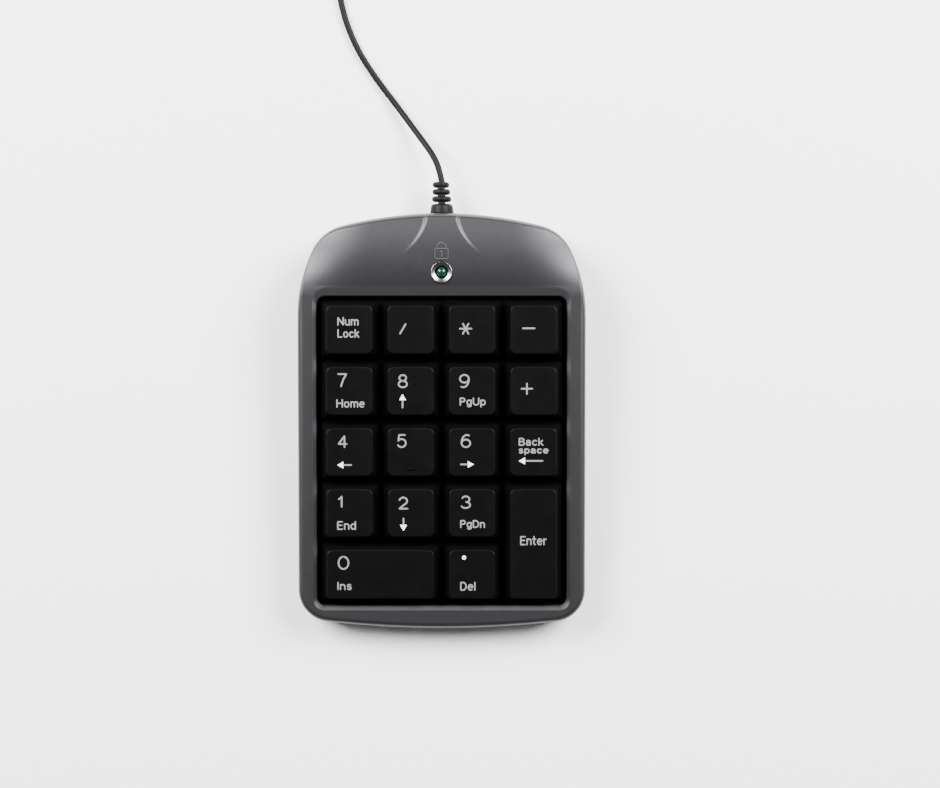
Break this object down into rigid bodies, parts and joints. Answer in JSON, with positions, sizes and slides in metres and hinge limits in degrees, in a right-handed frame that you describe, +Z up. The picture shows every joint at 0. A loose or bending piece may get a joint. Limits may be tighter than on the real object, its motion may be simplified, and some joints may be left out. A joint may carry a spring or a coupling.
{
  "type": "numeric keypad",
  "caption": "Wired numeric keypad with a wedge case, a block of square keys, an indicator lamp and a coiled lead with a plug.",
  "frame": {"origin": "on the surface that the feet stand on, under the middle of the case without its lead", "axes": "+Z up, +Y to the rear where the lead leaves, +X to the user's right"},
  "size_m": [0.09, 0.2353, 0.0228],
  "materials": {
    "key_plastic": "black ABS, fine satin texture on the finger faces",
    "frame_plastic": "black ABS",
    "steel": "zinc-plated sheet steel",
    "wire_steel": "drawn spring steel wire",
    "screw_steel": "zinc-plated self-tapping screws",
    "film": "clear polyester film with silver tracks",
    "dome_rubber": "translucent silicone rubber",
    "case_paint": "ABS with gunmetal metallic paint, satin clear coat",
    "base_plastic": "black ABS, fine spark texture",
    "foot_rubber": "soft rubber",
    "label": "blank silver film label",
    "board": "glass-epoxy board with green solder mask",
    "chip": "moulded package",
    "components": "ceramic and film chips, steel crystal can",
    "header_plastic": "natural nylon",
    "wires": "PVC insulation, four colours",
    "lamp": "green tinted clear epoxy",
    "tin": "tinned copper",
    "ring_metal": "satin chrome plate",
    "cord_rubber": "matt black PVC",
    "tie": "soft black strap",
    "plug_plastic": "black PVC overmould",
    "plug_steel": "nickel-plated shell",
    "tongue_plastic": "white thermoplastic",
    "gold": "gold flash"
  },
  "bodies": {
    "case": {"backing_plate": "steel", "board_components": "components", "bottom_cover": "base_plastic", "case_screws": "screw_steel", "clamp_screws": "screw_steel", "coil_tie": "tie", "controller_board": "board", "controller_chip": "chip", "cord_coil": "cord_rubber", "cord_lead": "cord_rubber", "cord_to_plug": "cord_rubber", "dome_sheet": "dome_rubber", "foot_front_left": "foot_rubber", "foot_front_right": "foot_rubber", "foot_rear_left": "foot_rubber", "foot_rear_right": "foot_rubber", "inner_wires": "wires", "key_frame": "frame_plastic", "lead_header": "header_plastic", "led_leads": "tin", "led_ring": "ring_metal", "membrane_clamp": "frame_plastic", "membrane_lower": "film", "membrane_spacer": "film", "membrane_upper": "film", "plug_contacts": "gold", "plug_overmould": "plug_plastic", "plug_shell": "plug_steel", "plug_tongue": "tongue_plastic", "rating_label": "label", "status_led": "lamp", "strain_relief": "cord_rubber", "top_cover": "case_paint"},
    "key_num_lock": {"key_num_lock": "key_plastic"},
    "key_divide": {"key_divide": "key_plastic"},
    "key_multiply": {"key_multiply": "key_plastic"},
    "key_minus": {"key_minus": "key_plastic"},
    "key_seven": {"key_seven": "key_plastic"},
    "key_eight": {"key_eight": "key_plastic"},
    "key_nine": {"key_nine": "key_plastic"},
    "key_plus": {"key_plus": "key_plastic"},
    "key_four": {"key_four": "key_plastic"},
    "key_five": {"key_five": "key_plastic"},
    "key_six": {"key_six": "key_plastic"},
    "key_backspace": {"key_backspace": "key_plastic"},
    "key_one": {"key_one": "key_plastic"},
    "key_two": {"key_two": "key_plastic"},
    "key_three": {"key_three": "key_plastic"},
    "key_enter": {"key_enter": "key_plastic"},
    "key_zero": {"key_zero": "key_plastic"},
    "key_point": {"key_point": "key_plastic"},
    "stabiliser_bar_zero": {"stabiliser_bar_zero": "wire_steel"},
    "stabiliser_bar_enter": {"stabiliser_bar_enter": "wire_steel"}
  },
  "joints": [
    {"name": "press_num_lock", "type": "slide", "parent": "case", "child": "key_num_lock", "axis": [0, 0.0698, -0.9976], "range_m": [0, 0.003], "stiffness_N_per_m": 180, "deforming": ["dome_sheet"]},
    {"name": "press_divide", "type": "slide", "parent": "case", "child": "key_divide", "axis": [0, 0.0698, -0.9976], "range_m": [0, 0.003], "stiffness_N_per_m": 180, "deforming": ["dome_sheet"]},
    {"name": "press_multiply", "type": "slide", "parent": "case", "child": "key_multiply", "axis": [0, 0.0698, -0.9976], "range_m": [0, 0.003], "stiffness_N_per_m": 180, "deforming": ["dome_sheet"]},
    {"name": "press_minus", "type": "slide", "parent": "case", "child": "key_minus", "axis": [0, 0.0698, -0.9976], "range_m": [0, 0.003], "stiffness_N_per_m": 180, "deforming": ["dome_sheet"]},
    {"name": "press_seven", "type": "slide", "parent": "case", "child": "key_seven", "axis": [0, 0.0698, -0.9976], "range_m": [0, 0.003], "stiffness_N_per_m": 180, "deforming": ["dome_sheet"]},
    {"name": "press_eight", "type": "slide", "parent": "case", "child": "key_eight", "axis": [0, 0.0698, -0.9976], "range_m": [0, 0.003], "stiffness_N_per_m": 180, "deforming": ["dome_sheet"]},
    {"name": "press_nine", "type": "slide", "parent": "case", "child": "key_nine", "axis": [0, 0.0698, -0.9976], "range_m": [0, 0.003], "stiffness_N_per_m": 180, "deforming": ["dome_sheet"]},
    {"name": "press_plus", "type": "slide", "parent": "case", "child": "key_plus", "axis": [0, 0.0698, -0.9976], "range_m": [0, 0.003], "stiffness_N_per_m": 180, "deforming": ["dome_sheet"]},
    {"name": "press_four", "type": "slide", "parent": "case", "child": "key_four", "axis": [0, 0.0698, -0.9976], "range_m": [0, 0.003], "stiffness_N_per_m": 180, "deforming": ["dome_sheet"]},
    {"name": "press_five", "type": "slide", "parent": "case", "child": "key_five", "axis": [0, 0.0698, -0.9976], "range_m": [0, 0.003], "stiffness_N_per_m": 180, "deforming": ["dome_sheet"]},
    {"name": "press_six", "type": "slide", "parent": "case", "child": "key_six", "axis": [0, 0.0698, -0.9976], "range_m": [0, 0.003], "stiffness_N_per_m": 180, "deforming": ["dome_sheet"]},
    {"name": "press_backspace", "type": "slide", "parent": "case", "child": "key_backspace", "axis": [0, 0.0698, -0.9976], "range_m": [0, 0.003], "stiffness_N_per_m": 180, "deforming": ["dome_sheet"]},
    {"name": "press_one", "type": "slide", "parent": "case", "child": "key_one", "axis": [0, 0.0698, -0.9976], "range_m": [0, 0.003], "stiffness_N_per_m": 180, "deforming": ["dome_sheet"]},
    {"name": "press_two", "type": "slide", "parent": "case", "child": "key_two", "axis": [0, 0.0698, -0.9976], "range_m": [0, 0.003], "stiffness_N_per_m": 180, "deforming": ["dome_sheet"]},
    {"name": "press_three", "type": "slide", "parent": "case", "child": "key_three", "axis": [0, 0.0698, -0.9976], "range_m": [0, 0.003], "stiffness_N_per_m": 180, "deforming": ["dome_sheet"]},
    {"name": "press_enter", "type": "slide", "parent": "case", "child": "key_enter", "axis": [0, 0.0698, -0.9976], "range_m": [0, 0.003], "stiffness_N_per_m": 180, "deforming": ["dome_sheet"]},
    {"name": "press_zero", "type": "slide", "parent": "case", "child": "key_zero", "axis": [0, 0.0698, -0.9976], "range_m": [0, 0.003], "stiffness_N_per_m": 180, "deforming": ["dome_sheet"]},
    {"name": "press_point", "type": "slide", "parent": "case", "child": "key_point", "axis": [0, 0.0698, -0.9976], "range_m": [0, 0.003], "stiffness_N_per_m": 180, "deforming": ["dome_sheet"]},
    {"name": "turn_bar_zero", "type": "hinge", "parent": "case", "child": "stabiliser_bar_zero", "pos_m": [-0.01905, -0.05391, 0.0078], "axis": [-1, 0, 0], "range_deg": [0, 17.01]},
    {"name": "turn_bar_enter", "type": "hinge", "parent": "case", "child": "stabiliser_bar_enter", "pos_m": [0.03528, -0.03772, 0.00894], "axis": [0, -0.9976, -0.0698], "range_deg": [0, 17.01]}
  ],
  "couplings": [
    {"joint": "turn_bar_zero", "follows": "press_zero", "rad_per_m": 98.4},
    {"joint": "turn_bar_enter", "follows": "press_enter", "rad_per_m": 98.4}
  ]
}
